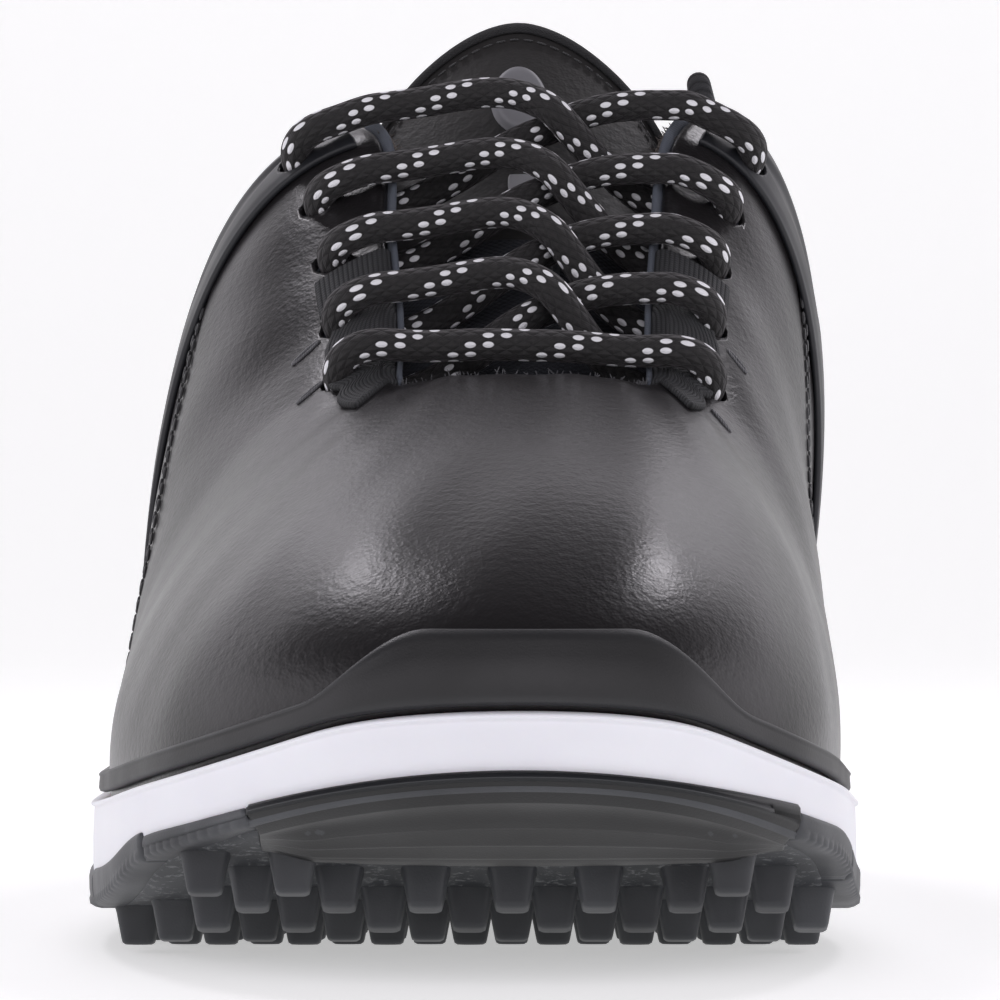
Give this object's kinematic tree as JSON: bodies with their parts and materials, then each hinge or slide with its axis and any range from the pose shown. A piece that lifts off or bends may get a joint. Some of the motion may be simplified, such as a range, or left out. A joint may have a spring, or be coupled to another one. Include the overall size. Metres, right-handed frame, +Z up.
{
  "type": "golf shoe",
  "caption": "Low lace-up golf shoe for the right foot, with a leather upper, foam midsole and lugged rubber outsole.",
  "frame": {"origin": "on the ground under the middle of the shoe's box", "axes": "+Z up, toe towards -Y and heel towards +Y, inner (medial) side of the right foot towards +X"},
  "size_m": [0.1135, 0.3052, 0.1455],
  "materials": {
    "black_rubber": "moulded, matte",
    "white_foam": "moulded foam skin, matte",
    "shank_plastic": "moulded",
    "board_textile": "non-woven board",
    "insole_foam": "open-cell foam",
    "insole_textile": "knit",
    "black_leather": "smooth, fine grain, soft sheen",
    "slate_tpu": "moulded, matte",
    "slate_textile": "tight weave",
    "slate_webbing": "ribbed narrow weave",
    "stiffener_plastic": "thermoplastic sheet",
    "lining_textile": "brushed knit",
    "collar_foam": "cut foam",
    "collar_textile": "ribbed knit",
    "black_mesh": "spacer mesh",
    "dark_binding": "woven tape",
    "patch_print": "raised print",
    "black_cord": "braided round cord with pale flecks",
    "clear_black_plastic": "smooth sleeve"
  },
  "bodies": {
    "shoe": {"outsole": "black_rubber", "midsole": "white_foam", "shank": "shank_plastic", "strobel_board": "board_textile", "rand": "black_rubber", "vamp": "black_leather", "quarter_medial": "black_leather", "quarter_lateral": "black_leather", "saddle_band_medial": "slate_tpu", "saddle_band_lateral": "slate_tpu", "backstay": "black_leather", "throat_facing_medial": "slate_textile", "throat_facing_lateral": "slate_textile", "webbing_medial": "slate_webbing", "webbing_lateral": "slate_webbing", "toe_puff": "stiffener_plastic", "heel_counter": "stiffener_plastic", "vamp_lining": "lining_textile", "quarter_lining": "lining_textile", "collar_foam": "collar_foam", "collar_lining": "collar_textile", "lace": "black_cord", "aglets": "clear_black_plastic"},
    "tongue": {"tongue_face": "black_leather", "tongue_mesh": "black_mesh", "tongue_foam": "collar_foam", "tongue_lining": "lining_textile", "tongue_binding": "dark_binding", "tongue_keeper": "slate_webbing", "tongue_patch": "patch_print"},
    "footbed": {"footbed": "insole_foam", "footbed_cover": "insole_textile"}
  },
  "joints": [
    {"name": "tongue_tilt", "type": "hinge", "parent": "shoe", "child": "tongue", "pos_m": [0.008, -0.055, 0.071], "axis": [1, 0, 0], "range_deg": [-15, 0], "stiffness_Nm_per_rad": 0.25},
    {"name": "footbed_lift", "type": "hinge", "parent": "shoe", "child": "footbed", "pos_m": [0.007, -0.145, 0.0354], "axis": [1, 0, 0], "range_deg": [0, 6]}
  ]
}
